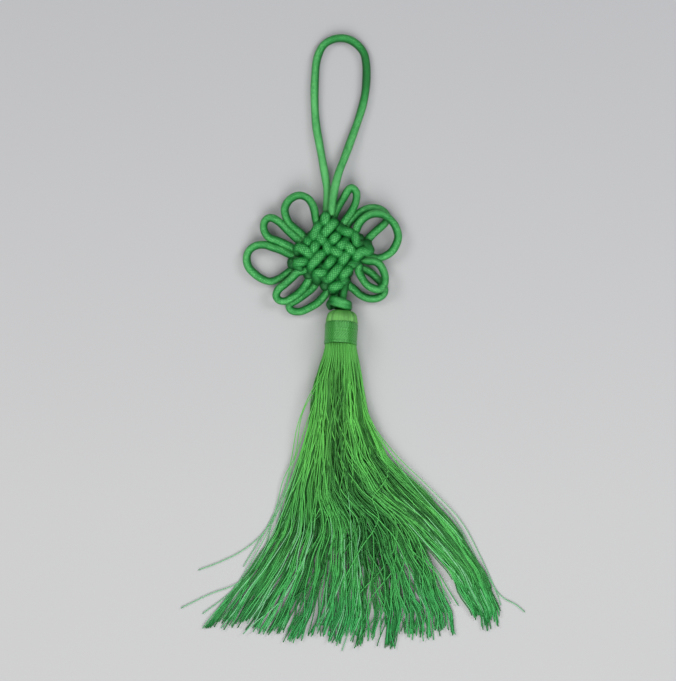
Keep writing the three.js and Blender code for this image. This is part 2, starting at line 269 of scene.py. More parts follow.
def braided_satin():
    """Green satin cord: a braid of shiny yarns with painted shade between them, and uneven dye."""
    material, surface, base = new_material("braided_satin", Metallic=0.35, Specular_IOR_Level=0.55)
    around, along = uv_parts(base)
    one_way = around * BRAID_YARNS + along * BRAID_PITCH
    other_way = around * BRAID_YARNS - along * BRAID_PITCH
    ridge = (one_way * math.pi).math("SINE").math("ABSOLUTE")
    cross_ridge = (other_way * math.pi).math("SINE").math("ABSOLUTE")
    braid = (ridge * cross_ridge) ** 0.5
    place = base.node("ShaderNodeTexCoord", output="Object")
    mottle = base.node(
        "ShaderNodeTexNoise", {}, {"Vector": place, "Scale": 1300.0, "Detail": 2.0, "Roughness": 0.6},
    )
    dye = base.node("ShaderNodeTexNoise", {}, {"Vector": place, "Scale": 110.0, "Detail": 2.0})
    # Each piece carries its own painted light and shade, point by point, which darkens or lightens the
    # dye.
    depth = base.node("ShaderNodeAttribute", {"attribute_name": "depth"}, output="Fac")
    shade = (braid * 0.62 + mottle * 0.9 + dye * 0.5 - 0.58) * depth
    deep = shade.node(
        "ShaderNodeValToRGB",
        {"stops": [(0.0, SATIN_DARK), (0.42, SATIN_MIDDLE), (1.0, SATIN_LIGHT)]},
        {0: shade},
    )
    height = braid * 0.7 + mottle * 0.4
    bump = height.node(
        "ShaderNodeBump", {}, {"Height": height, "Strength": 1.0, "Distance": BRAID_DEPTH * MM},
    )
    connect(surface, Base_Color=deep, Roughness=SATIN_ROUGHNESS - braid * 0.16, Normal=bump)
    return material


def add_attribute(made, name, values):
    """A number for each of the piece's points, which its material reads."""
    attribute = made.data.attributes.new(name, "FLOAT", "POINT")
    attribute.data.foreach_set("value", np.array(values, np.float32))


def points_of(made):
    """The piece's points, a row each, in millimetres."""
    points = np.zeros(len(made.data.vertices) * 3)
    made.data.vertices.foreach_get("co", points)
    return points.reshape(-1, 3) / MM


def fit(piece, material, node):
    """The piece gets its material, rides with the object, and stands for a solid of the frame."""
    piece.data.materials.append(material)
    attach(piece, "root")
    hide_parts(node)


def flank_shading(rings):
    """Painted shade low on the cord's flanks and painted light along its top, ring by ring."""
    height = (rings[:, :, 2] - rings[:, :, 2].mean(axis=1, keepdims=True)) / CORD_RADIUS
    return np.interp(height, *FLANKS)


def inside_shading(rings, middle):
    """Painted shade on the side of the cord that faces the middle of its loop."""
    centres = rings.mean(axis=1, keepdims=True)
    inward = unit(middle - centres[:, :, :2])
    facing = np.sum((rings - centres)[:, :, :2] * inward, axis=2) / CORD_RADIUS
    return np.interp(facing, *FACING_IN)


satin = braided_satin()
loop_cord = piece_of("loop_cord", [cord_skin(LOOP_ROUTE)])
loop_rings = points_of(loop_cord).reshape(-1, CORD_SIDES, 3)
# The loop's colour carries painted light and shade: on its flanks, on its inner side, and along the
# loop.
loop_light_and_shade = np.interp(np.linspace(0, 1, len(loop_rings)), *LOOP_LIGHT_AND_SHADE)[:, None]
loop_open = np.interp(loop_rings[:, :, 1], *LOOP_OPENS)
loop_inside = 1 + (inside_shading(loop_rings, LOOP_MIDDLE) - 1) * loop_open
add_attribute(loop_cord, "depth", (flank_shading(loop_rings) * loop_inside * loop_light_and_shade).ravel())
fit(loop_cord, satin, "hanging_loop")


# The woven body
# Six runs of the cord go down to the right and six down to the left, over and under each other as
# the knot is tied, and turn round the rim to the back, where they are woven in the same way. Where a
# run comes over the others it shows as a short plump stitch, pulled a little out of line.

BODY_CORNER = np.array([-9.8, 46.1])
RIGHT_STEP = np.array([3.03, -1.97])
LEFT_STEP = np.array([-2.37, -3.29])
BODY_MIDDLE = 4.5
RUNS_EACH_WAY = 6
RUN_STEP = CORD_STEP * 0.75
RUN_UNDER = 0.9
RUN_ON_BACK = -3.45
STITCH_DIP = 1.2
STITCH_ENDS = 0.65
CLEAR_OF_STITCH = 2.3
RUN_WIDE = 1.84
RUN_TALL = 1.42
BODY_SHADING = ((1.6, 3.2, 4.1, 4.8), (0.04, 0.24, 0.66, 1.05))
RIM_TURN = ((0.18, 1.5), (0.32, 0.0), (0.18, -1.5))

# The draft says which run is over at each crossing on the back: r is the one that goes down to the
# right, and d the one that goes down to the left. A stitch on the front is its height, and then the
# places that it runs through.
BACK_DRAFT = ["drdrrd", "ddrdrd", "drdrdr", "rdrdrd", "rrdrdr", "dddrrd"]
RIGHT_STITCHES = [
    [(3.3, (-3.6, 41.8), (-0.1, 40.5)), (3.5, (0.9, 40.2), (2.2, 36.8))],
    [(3.7, (-1.9, 36.2), (0.5, 33.8))],
    [(3.6, (-12.7, 39.8), (-10.3, 37.6)), (3.5, (-7.3, 34.5), (-4.3, 32.9))],
    [],
    [(3.7, (-20.3, 35.4), (-17.8, 34.5), (-15.5, 32.7)), (2.5, (-10.7, 28.3), (-9.0, 27.1)),
     (2.6, (-4.3, 22.5), (-1.7, 23.0))],
    [(2.6, (-10.5, 24.4), (-7.8, 22.7))],
]
LEFT_STITCHES = [
    [(3.7, (-9.4, 47.5), (-10.3, 44.6)), (3.3, (-12.0, 43.9), (-14.6, 39.0)),
     (3.0, (-15.9, 38.5), (-16.8, 36.7))],
    [(3.7, (-6.4, 44.8), (-10.4, 40.2)), (3.6, (-13.1, 36.6), (-14.6, 34.1)),
     (3.5, (-17.4, 30.5), (-20.7, 29.2))],
    [(2.3, (-4.3, 43.2), (-4.8, 41.1)), (3.7, (-5.5, 39.8), (-7.3, 37.7)),
     (3.3, (-9.0, 37.3), (-9.3, 33.7)), (3.7, (-11.0, 33.2), (-15.1, 28.5))],
    [(3.4, (-2.6, 37.3), (-4.7, 35.2)), (3.6, (-7.2, 31.0), (-9.2, 28.5)),
     (3.6, (-10.4, 26.4), (-13.1, 25.4))],
    [(3.7, (-1.7, 32.8), (-3.7, 29.8)), (3.6, (-4.3, 28.5), (-8.2, 23.8))],
    [(3.5, (6.7, 34.0), (3.9, 33.8), (1.5, 31.3)), (2.5, (2.0, 29.8), (-1.0, 28.5)),
     (3.5, (-0.8, 27.6), (-3.4, 24.5)), (3.4, (-4.2, 21.8), (-7.4, 20.0))],
]


def crossing(along_right, along_left):
    """The place on the plan where two runs cross, by their numbers."""
    return BODY_CORNER + RIGHT_STEP * along_right + LEFT_STEP * along_left


def front_of(place_of, stitches):
    """One run's way over the front: low on the lattice, and high along each of its stitches."""
    ahead = place_of(1) - place_of(0)
    ahead = ahead / np.linalg.norm(ahead)
    high, dips = [], []
    for height, *plan in stitches:
        middle = (np.array(plan[0]) + plan[-1]) / 2 if len(plan) == 2 else np.array(plan[1])
        if high:
            dips.append((*(np.array(high[-1][:2]) + plan[0]) / 2, STITCH_DIP))
        high.append((*plan[0], height - STITCH_ENDS))
        high.append((*middle, height))
        high.append((*plan[-1], height - STITCH_ENDS))
    low = []
    for step in range(RUNS_EACH_WAY):
        place = place_of(step)
        gaps = [abs((np.array(point[:2]) - place) @ ahead) for point in high]
        if not gaps or min(gaps) > CLEAR_OF_STITCH:
            low.append((*place, RUN_UNDER))
    return sorted(high + dips + low, key=lambda point: np.array(point[:2]) @ ahead)


def woven_run(place_of, stitches, is_over):
    """The closed route of one run: along the front, round the rim, and back along the other face."""
    last = RUNS_EACH_WAY - 1
    route = front_of(place_of, stitches)
    route += [(*place_of(last + out), height) for out, height in RIM_TURN]
    for step in range(last, -1, -1):
        route.append((*place_of(step), RUN_ON_BACK if is_over(step) else -RUN_UNDER))
    route += [(*place_of(-out), height) for out, height in reversed(RIM_TURN)]
    return spline(np.array(route) + (0, 0, BODY_MIDDLE), RUN_STEP, closed=True)


def run_skin(route, along):
    """The skin of one run, wider than tall, its wide side kept level."""
    across = np.tile((-along[1], along[0], 0.0), (len(route), 1))
    return skin(route, RUN_WIDE, RUN_TALL, CORD_SIDES, across, closed=True)


body_skins = []
for number in range(RUNS_EACH_WAY):
    rightward = woven_run(
        lambda step: crossing(step, number), RIGHT_STITCHES[number],
        lambda step: BACK_DRAFT[number][step] == "r",
    )
    body_skins.append(run_skin(rightward, RIGHT_STEP))
    leftward = woven_run(
        lambda step: crossing(number, step), LEFT_STITCHES[number],
        lambda step: BACK_DRAFT[step][number] == "d",
    )
    body_skins.append(run_skin(leftward, LEFT_STEP))
woven_body = piece_of("woven_body", body_skins)
# Painted shade: the cord is darker the nearer it lies to the body's middle, down between the stitches,
# and lightest on the stitches.
from_middle = np.abs(points_of(woven_body)[:, 2] - BODY_MIDDLE)
add_attribute(woven_body, "depth", np.interp(from_middle, *BODY_SHADING))
fit(woven_body, satin, "woven_knot")


# The ears
# Ten loops of the cord stand out round the body. Each leaves between two runs and goes back in
# beside it. A row gives an ear's route on the table, and its height at five places along it.

EARS = {
    "upper_left": (
        (6.4, 6.2, 4.2, 3.8, 4.4),
        [(-14.4, 39.0), (-13.4, 41.0), (-12.9, 43.6), (-13.4, 46.2), (-13.9, 49.4), (-14.7, 51.6),
         (-16.3, 53.7), (-19.2, 54.9), (-21.8, 54.2), (-23.7, 52.6), (-24.9, 50.0), (-24.7, 47.8),
         (-23.4, 44.8), (-21.1, 42.6), (-19.2, 41.0), (-17.6, 39.4)],
    ),
    "middle_left": (
        (4.6, 4.4, 3.6, 3.8, 4.4),
        [(-19.5, 38.1), (-21.8, 40.0), (-24.4, 42.3), (-26.6, 44.6), (-28.9, 46.2), (-30.8, 46.5),
         (-32.4, 45.2), (-32.8, 42.9), (-32.1, 40.7), (-30.5, 39.0), (-27.9, 38.1), (-25.0, 36.8),
         (-22.4, 35.5), (-20.5, 34.5)],
    ),
    "left_corner": (
        (4.6, 3.4, 2.2, 2.0, 3.0),
        [(-21.1, 32.2), (-23.7, 33.2), (-26.6, 34.5), (-29.6, 35.5), (-32.1, 36.4), (-34.7, 36.4),
         (-37.0, 35.5), (-38.7, 33.6), (-39.2, 31.0), (-38.4, 28.1), (-36.3, 25.8), (-33.8, 24.0),
         (-30.5, 22.9), (-27.6, 23.6), (-25.0, 25.2), (-22.8, 26.8), (-21.1, 27.8)],
    ),
    "lower_left_upper": (
        (5.8, 5.4, 4.2, 4.4, 4.8),
        [(-17.9, 26.8), (-20.2, 26.1), (-22.4, 23.9), (-25.0, 21.6), (-27.3, 19.7), (-28.1, 17.4),
         (-27.0, 15.8), (-24.7, 15.5), (-22.1, 16.8), (-19.5, 18.7), (-17.3, 21.3), (-15.7, 23.9),
         (-14.7, 25.5)],
    ),
    "lower_left_lower": (
        (2.8, 1.9, 1.6, 2.2, 3.6),
        [(-13.1, 22.9), (-14.1, 21.0), (-17.3, 18.1), (-20.4, 16.0), (-22.8, 14.6), (-23.3, 13.4),
         (-22.4, 12.0), (-19.2, 11.6), (-16.0, 12.9), (-12.8, 14.8), (-10.5, 17.1), (-9.2, 19.0)],
    ),
    "upper_right": (
        (3.4, 3.8, 4.2, 4.4, 4.9),
        [(-6.6, 47.2), (-5.1, 50.4), (-2.9, 54.0), (-1.4, 56.6), (0.0, 57.7), (1.7, 56.1),
         (1.6, 52.6), (-0.1, 48.8), (-2.2, 45.6), (-3.1, 44.2)],
    ),
    "right_corner": (
        (6.4, 6.8, 4.6, 3.6, 3.8),
        [(1.7, 41.8), (2.3, 43.4), (4.0, 45.7), (6.3, 47.3), (8.9, 48.0), (11.8, 47.6),
         (14.1, 46.1), (15.8, 44.3), (16.9, 42.0), (17.4, 39.4), (16.6, 36.5), (14.9, 33.9),
         (12.3, 32.2), (9.8, 31.5), (7.8, 31.9)],
    ),
    "right_inner": (
        (3.6, 2.8, 2.4, 3.0, 3.6),
        [(-0.6, 45.2), (1.2, 46.8), (3.1, 48.6), (5.7, 49.9), (8.3, 50.3), (10.9, 49.6),
         (12.6, 48.3), (13.4, 46.6), (12.6, 44.8), (10.9, 43.1), (8.9, 41.4), (6.9, 39.4),
         (5.2, 37.4)],
    ),
    "lower_right_upper": (
        (6.2, 6.2, 5.6, 5.0, 4.6),
        [(2.9, 28.2), (2.6, 26.8), (3.8, 24.2), (5.7, 21.6), (8.1, 20.2), (10.4, 19.9),
         (12.1, 21.6), (12.5, 24.2), (11.8, 26.8), (10.4, 29.1), (8.6, 30.2), (6.3, 30.5)],
    ),
    "lower_right_lower": (
        (4.4, 2.8, 2.0, 1.9, 2.6),
        [(-0.6, 21.0), (0.6, 20.2), (2.9, 18.1), (5.5, 16.7), (8.1, 16.4), (10.6, 17.0),
         (12.1, 18.4), (12.3, 20.2), (10.9, 22.5), (8.6, 24.8), (6.9, 26.2)],
    ),
}
EAR_ROOT = 4.0
EAR_ROOT_HEIGHT = 4.0

middle_run = (RUNS_EACH_WAY - 1) / 2
body_centre = crossing(middle_run, middle_run)


def root_in_body(end):
    """The cord's place inside the body, a little way in from where it crosses the rim."""
    inward = body_centre - end
    return end + inward / np.linalg.norm(inward) * EAR_ROOT


for ear_name, (heights, plan) in EARS.items():
    plan = np.array(plan)
    travelled = np.append(0, np.cumsum(np.linalg.norm(np.diff(plan, axis=0), axis=1)))
    places = travelled / travelled[-1] * (len(heights) - 1)
    level = np.interp(places, range(len(heights)), heights)
    whole = np.vstack([
        (*root_in_body(plan[0]), EAR_ROOT_HEIGHT),
        np.column_stack([plan, level]),
        (*root_in_body(plan[-1]), EAR_ROOT_HEIGHT),
    ])
    ear = piece_of("ear_" + ear_name, [cord_skin(whole)])
    ear_rings = points_of(ear).reshape(-1, CORD_SIDES, 3)
    # Painted shade low on each ear's flanks and on the side that faces the ear's middle, painted light
    # along its top.
    ear_shading = flank_shading(ear_rings) * inside_shading(ear_rings, plan.mean(axis=0))
    add_attribute(ear, "depth", ear_shading.ravel())
    fit(ear, satin, "woven_knot")


# The tail knot
# The two ends of the cord leave the bottom corner of the body and go down into the tassel's head.
# A wrap of the same cord goes twice round them, with its end tucked in at the left.

TAIL_ROUTES = [
    [(-7.0, 22.0, 4.2), (-6.5, 19.4, 4.6), (-5.6, 16.9, 5.4), (-5.2, 13.4, 5.8)],
    [(-1.9, 22.6, 5.4), (-2.7, 19.6, 6.6), (-3.2, 16.9, 6.6), (-3.2, 13.4, 5.8)],
]
TAIL_RADIUS = 1.32
WRAP_CENTRE = (-4.1, 5.9)
WRAP_TOP = 15.7
WRAP_BOTTOM = 13.25
WRAP_SLANT = -0.24
WRAP_TURNS = 2.0
WRAP_START = math.radians(205)
WRAP_WIDE = 3.1
WRAP_DEEP = 2.8
WRAP_STEPS = 60
TUCKED_RADIUS = 1.2
TUCKED_END = [(-5.6, 16.2, 6.2), (-7.4, 15.4, 6.0), (-8.3, 14.2, 4.6), (-7.6, 12.9, 3.4)]
TAIL_SHADING = ((1.2, 3.6), (0.18, 0.98))

wrap_places = np.linspace(0, 1, WRAP_STEPS)
wrap_angles = WRAP_START - 2 * math.pi * WRAP_TURNS * wrap_places
wrap_outward = np.column_stack([np.cos(wrap_angles), 0 * wrap_angles, np.sin(wrap_angles)])
wrap_route = np.column_stack([
    WRAP_CENTRE[0] + WRAP_WIDE * np.cos(wrap_angles),
    WRAP_TOP + (WRAP_BOTTOM - WRAP_TOP) * wrap_places + WRAP_SLANT * WRAP_WIDE * np.cos(wrap_angles),
    WRAP_CENTRE[1] + WRAP_DEEP * np.sin(wrap_angles),
])
tail_skins = [skin(wrap_route, TAIL_RADIUS, TAIL_RADIUS, CORD_SIDES, wrap_outward)]
for tail_route in TAIL_ROUTES:
    tail_skins.append(cord_skin(tail_route, TAIL_RADIUS))
tail_skins.append(cord_skin(TUCKED_END, TUCKED_RADIUS))
tail_cords = piece_of("tail_cords", tail_skins)
# Painted shade: the cords are darker the nearer they lie to the wrap's middle height, so the tails
# under the wrap and the wrap's flanks are dark and its top is light.
from_middle = np.abs(points_of(tail_cords)[:, 2] - WRAP_CENTRE[1])
add_attribute(tail_cords, "depth", np.interp(from_middle, *TAIL_SHADING))
fit(tail_cords, satin, "tail_knot")


# The tassel's head
# The silk threads are folded over the cord and come down over a rounded head to the binding. Their
# ridges show all round it. The head lies on its side, its axis leaning a little to the left.

HEAD_BASE = (-4.1, 0.0)
HEAD_LEAN = math.radians(3.2)
HEAD_HEIGHT = 6.15
HEAD_ROWS = [
    (0.6, 12.2), (2.5, 12.15), (3.7, 11.85), (4.7, 11.2), (5.3, 10.4), (5.6, 9.4), (5.8, 8.4),
    (5.95, 7.4), (5.9, 6.4), (5.6, 5.6), (5.6, 0.8), (4.6, 0.4), (2.0, 0.2),
]
HEAD_RADIUS = 5.8
HEAD_THREADS = 64
POINTS_PER_THREAD = 4
RIDGE_RISE = 0.26
RIDGE_POWER = 0.7
RIDGE_LEVEL = 0.7
RIDGE_FULL_FROM = 4
HEAD_TINTS = (0.45, 1.0)
HEAD_SILK = (0.185, 0.54, 0.125, 1.0)
THREAD_SILK = (0.160, 0.64, 0.110, 1.0)
# DEEP_SILK is the darkest threads' colour and also the painted shade under other threads; PALE_SILK is
# painted light.
DEEP_SILK = (0.004, 0.085, 0.009, 1.0)
PALE_SILK = (0.26, 0.58, 0.34, 1.0)
PALE_ABOVE = 1.2
TIPWARD_FROM = -0.030
TIPWARD_TO = -0.108
TWIST_PITCH = 0.55
TWIST_DEPTH = 0.05


def turned(name, rows, around):
    """A solid of revolution on an upright axis, made by raising and resizing a ring row by row."""
    first_radius, first_along = rows[0]
    bpy.ops.mesh.primitive_circle_add(
        vertices=around, radius=first_radius * MM, fill_type="NGON",
        location=(0, 0, first_along * MM),
    )
    bpy.ops.object.transform_apply(location=True, rotation=False, scale=False)
    made = bpy.context.object
    made.name = name
    bpy.ops.object.mode_set(mode="EDIT")
    bpy.ops.mesh.select_all(action="SELECT")
    for (radius, along), (next_radius, next_along) in zip(rows, rows[1:]):
        rise = (next_along - along) * MM
        bpy.ops.mesh.extrude_region_move(TRANSFORM_OT_translate={"value": (0, 0, rise)})
        growth = next_radius / radius
        bpy.ops.transform.resize(value=(growth, growth, 1), center_override=(0, 0, next_along * MM))
    bpy.ops.mesh.select_all(action="SELECT")
    bpy.ops.mesh.normals_make_consistent(inside=False)
    bpy.ops.object.mode_set(mode="OBJECT")
    made.data.polygons.foreach_set("use_smooth", [True] * len(made.data.polygons))
    bpy.ops.object.select_all(action="DESELECT")
    return made


def laid_down(points):
    """Points in millimetres round the head's upright axis, moved to where the head lies."""
    across, up, along = points[:, 0], points[:, 1], points[:, 2]
    return np.column_stack([
        HEAD_BASE[0] + across * math.cos(HEAD_LEAN) + along * math.sin(HEAD_LEAN),
        HEAD_BASE[1] + along * math.cos(HEAD_LEAN) - across * math.sin(HEAD_LEAN),
        HEAD_HEIGHT + up,
    ])


def move_points(made, points):
    """Puts the piece's points at these places, given in millimetres."""
    made.data.vertices.foreach_set("co", (points * MM).ravel())
    made.data.update()


def silk(name, near_head, near_tips, dark, roughness, shine=0.45):
    """Silk thread: each thread has its own tint, which also carries painted shade and painted light,
    and the dye is bluer towards the tips.
    """
    material, surface, base = new_material(name, Metallic=0.35, Specular_IOR_Level=shine)
    around, along = uv_parts(base)
    tint = base.node("ShaderNodeAttribute", {"attribute_name": "tint"}, output="Fac")
    place = base.node("ShaderNodeTexCoord", output="Object")
    parts = place.node("ShaderNodeSeparateXYZ", {}, {0: place}, output="Y")
    patches = place.node("ShaderNodeTexNoise", {}, {"Vector": place, "Scale": 55.0, "Detail": 2.0})
    tipward = parts.node(
        "ShaderNodeMapRange", {"clamp": True},
        {"Value": parts, "From Min": TIPWARD_FROM, "From Max": TIPWARD_TO},
    )
    colour = (tipward + patches * 0.5 - 0.25).mixed(near_head, near_tips)
    # A low tint takes the silk towards the dark colour, which is also painted shade; a tint above
    # PALE_ABOVE turns it pale, painted light where light shows through thin silk.
    dyed = tint.mixed(dark, colour)
    shaded = ((tint - PALE_ABOVE) * 2).mixed(dyed, PALE_SILK)
    twist = ((around + along * TWIST_PITCH) * (2 * math.pi)).math("SINE") * 0.5 + 0.5
    bump = twist.node(
        "ShaderNodeBump", {}, {"Height": twist, "Strength": 0.35, "Distance": TWIST_DEPTH * MM},
    )
    connect(surface, Base_Color=shaded, Roughness=roughness - twist * 0.10, Normal=bump)
    return material


def lay_thread_uvs(made, points):
    """UVs that count the threads round the head, and run along them in thread widths."""
    corners = np.zeros(len(made.data.loops), int)
    made.data.loops.foreach_get("vertex_index", corners)
    turn = (np.arctan2(points[:, 1], points[:, 0]) / (2 * math.pi))[corners]
    for face in made.data.polygons:
        here = turn[face.loop_start:face.loop_start + face.loop_total]
        if here.max() - here.min() > 0.5:
            here[here < 0] += 1
    width = 2 * math.pi * HEAD_RADIUS / HEAD_THREADS
    layer = made.data.uv_layers.new(name="UVMap")
    uvs = np.column_stack([turn * HEAD_THREADS, points[corners, 2] / width])
    layer.data.foreach_set("uv", uvs.astype(np.float32).ravel())


head = turned("tassel_head", HEAD_ROWS, HEAD_THREADS * POINTS_PER_THREAD)
points = points_of(head)
angle = np.arctan2(points[:, 1], points[:, 0])
radius = np.hypot(points[:, 0], points[:, 1])
ridge = np.abs(np.sin(angle * HEAD_THREADS / 2)) ** RIDGE_POWER - RIDGE_LEVEL
ridge_share = np.minimum(radius / RIDGE_FULL_FROM, 1)
points[:, :2] *= (1 + RIDGE_RISE * ridge * ridge_share / np.maximum(radius, 1))[:, None]
move_points(head, laid_down(points))
lay_thread_uvs(head, points)
head_dice = random.Random(3)
head_tints = np.array([head_dice.uniform(*HEAD_TINTS) for _ in range(HEAD_THREADS + 1)])
thread_number = ((angle / (2 * math.pi) + 0.5) * HEAD_THREADS).astype(int)
add_attribute(head, "tint", head_tints[thread_number])
head_silk = silk("head_silk", HEAD_SILK, THREAD_SILK, DEEP_SILK, 0.48)
fit(head, head_silk, "thread_tassel")


# The neck band
# A fine silk thread is wound close round the neck, some twenty turns, and holds the tassel together.
# The turns lie a little unevenly, and the last one bites into the threads below, with painted shade on
# it.

BAND_LENGTH = 8.0
BAND_LOWEST = -1.0
BAND_LEAN = 1.15
BAND_RADIUS = 5.93
BAND_TURNS = 21
BAND_THREAD = 0.26
BAND_THREAD_SIDES = 8
STEPS_PER_TURN = 72
TURN_BULGE = 0.07
TURN_SHIFT = 0.06
FIRST_TURN_BULGE = -0.2
LAST_TURN_BULGE = -0.35
TURN_TINTS = (0.6, 1.0)
LAST_TURN_SHADE = 0.2
BAND_SILK = (0.066, 0.40, 0.060, 1.0)

winding_dice = random.Random(5)
turn_places = np.arange(BAND_TURNS + 1)
turn_bulge = np.array([winding_dice.uniform(-TURN_BULGE, TURN_BULGE) for _ in turn_places])
turn_shift = np.array([winding_dice.uniform(-TURN_SHIFT, TURN_SHIFT) for _ in turn_places])
turn_bulge[-1] = LAST_TURN_BULGE
turn_bulge[0] = FIRST_TURN_BULGE
turns = np.linspace(0, BAND_TURNS, BAND_TURNS * STEPS_PER_TURN + 1)
winding_angle = turns * 2 * math.pi
winding_radius = BAND_RADIUS + np.interp(turns, turn_places, turn_bulge)
winding_along = BAND_LOWEST + BAND_LENGTH * (1 - turns / BAND_TURNS)
winding_shift = np.interp(turns, turn_places, turn_shift)
winding = np.column_stack([
    winding_radius * np.cos(winding_angle),
    winding_radius * np.sin(winding_angle),
    winding_along + winding_shift + BAND_LEAN * np.sin(winding_angle),
])
winding_outward = np.column_stack([np.cos(winding_angle), np.sin(winding_angle), 0 * turns])
winding_route = laid_down(winding)
winding_across = laid_down(winding + winding_outward) - winding_route
winding_skin = skin(
    winding_route, BAND_THREAD, BAND_THREAD, BAND_THREAD_SIDES, winding_across, uneven=0,
)
band = piece_of("neck_winding", [winding_skin])
turn_tint = np.array([winding_dice.uniform(*TURN_TINTS) for _ in turn_places])
# Painted shade on the last turn, where it bites into the threads below.
turn_tint[-1] = LAST_TURN_SHADE
winding_tint = np.interp(turns, turn_places, turn_tint)
add_attribute(band, "tint", np.repeat(winding_tint, BAND_THREAD_SIDES))
band_silk = silk("band_silk", BAND_SILK, BAND_SILK, DEEP_SILK, 0.30, shine=1.0)
fit(band, band_silk, "neck_band")


# The tassel's skirt
# Over six hundred silk threads come out under the binding and spread over the table. They hang
# together in strands, cross each other, part into a left and a right bundle, and gather in small
# locks at their ends. A few stray out.

# Each row of SKIRT_ROWS is the left edge, the right edge and the pile's height, a step further down.
# SKIRT_LENGTHS gives lengths by share across, and PARTING the parting's two sides by place down.
SKIRT_TOP = 0.6
SKIRT_ROW_STEP = 14.25
SKIRT_ROWS = np.array([
    (-9.7, 1.9, 11.0), (-13.4, 3.9, 9.6), (-15.5, 6.3, 8.2), (-18.9, 13.2, 6.6), (-23.6, 28.0, 4.8),
    (-28.6, 40.3, 3.6), (-37.6, 49.5, 2.6), (-48.8, 55.0, 1.7), (-59.6, 57.0, 1.0),
])
SKIRT_LENGTHS = (
    (0.0, 0.06, 0.17, 0.25, 0.31, 0.46, 0.53, 0.65, 0.66, 0.80, 1.0),
    (109.5, 107.0, 109.0, 113.0, 110.5, 115.0, 110.5, 110.0, 103.0, 107.0, 104.5),
)
SKIRT_THREADS = 640
THREAD_RADIUS = 0.225
THREAD_SIDES = 5
THREAD_STEPS = 46
DOWN = np.linspace(0, 1, THREAD_STEPS)
ROOT_RADIUS = 5.5
GOLDEN = 0.6180339887
LAYERS = 5
ON_TOP = 0.80
STRANDS = 22
STRAND_WAVES = ((0.8, 0.9, 1.8), (0.45, 2.2, 4.5))
LOCKS = 50
LOCK_JITTER = 0.45
LOCK_LENGTHS = (-4.2, 1.5)
LOCK_SPLAY = 3.0
LOCK_WAVES = ((2.4, 0.7, 1.3), (0.9, 1.6, 2.6))
PARTED_AT = 0.65
CROSSES_OVER = (0.45, 0.95)
PARTING = np.array([
    (0.0, 0.65, 0.65), (-40.0, 0.62, 0.62), (-55.7, 0.60, 0.61), (-65.4, 0.73, 0.755),
    (-73.3, 0.755, 0.80), (-78.6, 0.76, 0.84), (-86.0, 0.785, 0.87), (-93.9, 0.81, 0.885),
    (-101.4, 0.84, 0.915), (-120.0, 0.86, 0.925),
])
TIP_SILK = (0.042, 0.41, 0.105, 1.0)

dice = random.Random(14)


def random_wave(size, few, many):
    """The size, cycles and phase of a wave, of up to this size and with few to many cycles."""
    return size * dice.uniform(0.3, 1.0), dice.uniform(few, many), dice.uniform(0, 2 * math.pi)


lock_jitters = [dice.uniform(-LOCK_JITTER, LOCK_JITTER) for _ in range(LOCKS)]
lock_centres = [(lock + 0.5 + jitter) / LOCKS for lock, jitter in enumerate(lock_jitters)]
lock_lengths = [dice.uniform(*LOCK_LENGTHS) for _ in range(LOCKS)]
lock_splays = [dice.gauss(0, LOCK_SPLAY) for _ in range(LOCKS)]
lock_levels = [dice.random() for _ in range(LOCKS)]
lock_waves = [[random_wave(*each) for each in LOCK_WAVES] for _ in range(LOCKS)]
strand_waves = [
    [random_wave(*each) for each in STRAND_WAVES] for _ in range(LAYERS * (STRANDS + 1))
]
strand_rolls = [dice.random() for _ in strand_waves]
lock_rolls = [dice.random() for _ in range(LOCKS)]


def row_values(y):
    """Left edge, right edge and pile height of the skirt at these places along it."""
    steps = np.arange(len(SKIRT_ROWS)) * SKIRT_ROW_STEP
    return [np.interp(-y, steps, SKIRT_ROWS[:, column]) for column in range(3)]


def root_of(across, layer):
    """Where a thread leaves the neck, from its share across the neck and its layer from the bottom of
    the neck to the top.
    """
    angle = math.asin(2 * across - 1)
    side = ROOT_RADIUS * math.sin(angle)
    rise = ROOT_RADIUS * math.cos(angle) * (2 * layer - 1)
    return laid_down(np.array([[side, rise, SKIRT_TOP]]))[0]


def wave(size, cycles, phase):
    """A wave down the length of a thread."""
    return size * np.sin(2 * math.pi * cycles * DOWN + phase)


def smooth(start, end):
    """Rises softly down a thread from 0 at the start to 1 at the end, both shares of its length."""
    share = np.clip((DOWN - start) / (end - start), 0, 1)
    return share * share * (3 - 2 * share)


def parted(place, y, across, target):
    """Share of the skirt's width for a thread's place among the others, the parting kept open."""
    left, right = (np.interp(-y, -PARTING[:, 0], PARTING[:, side]) for side in (1, 2))
    on_left = np.minimum(place / PARTED_AT, 1) * left
    on_right = right + np.maximum(0, place - PARTED_AT) / (1 - PARTED_AT) * (1 - right)
    starts, ends = (on_left if side < PARTED_AT else on_right for side in (across, target))
    return starts + (ends - starts) * smooth(*CROSSES_OVER)


WANDER = 0.035
WILD_SHARE = 0.25
WILD_WANDER = 0.13
WILD_SHARE_ON_TOP = 0.6
WILD_WANDER_ON_TOP = 0.22
AIM_ENDS = (0.005, 0.995)
OTHER_LOCK_SHARE = 0.2


def aim_of(across, on_top):
    """The share across the tips that a thread makes for, and the lock that it joins there."""
    wild = dice.random() < (WILD_SHARE_ON_TOP if on_top else WILD_SHARE)
    wander = (WILD_WANDER_ON_TOP if on_top else WILD_WANDER) if wild else WANDER
    target = min(AIM_ENDS[1], max(AIM_ENDS[0], across + dice.gauss(0, wander)))
    nearest = min(range(LOCKS), key=lambda lock: abs(lock_centres[lock] - target))
    if dice.random() < OTHER_LOCK_SHARE:
        nearest = min(LOCKS - 1, max(0, nearest + dice.choice((-1, 1))))
    return target, nearest


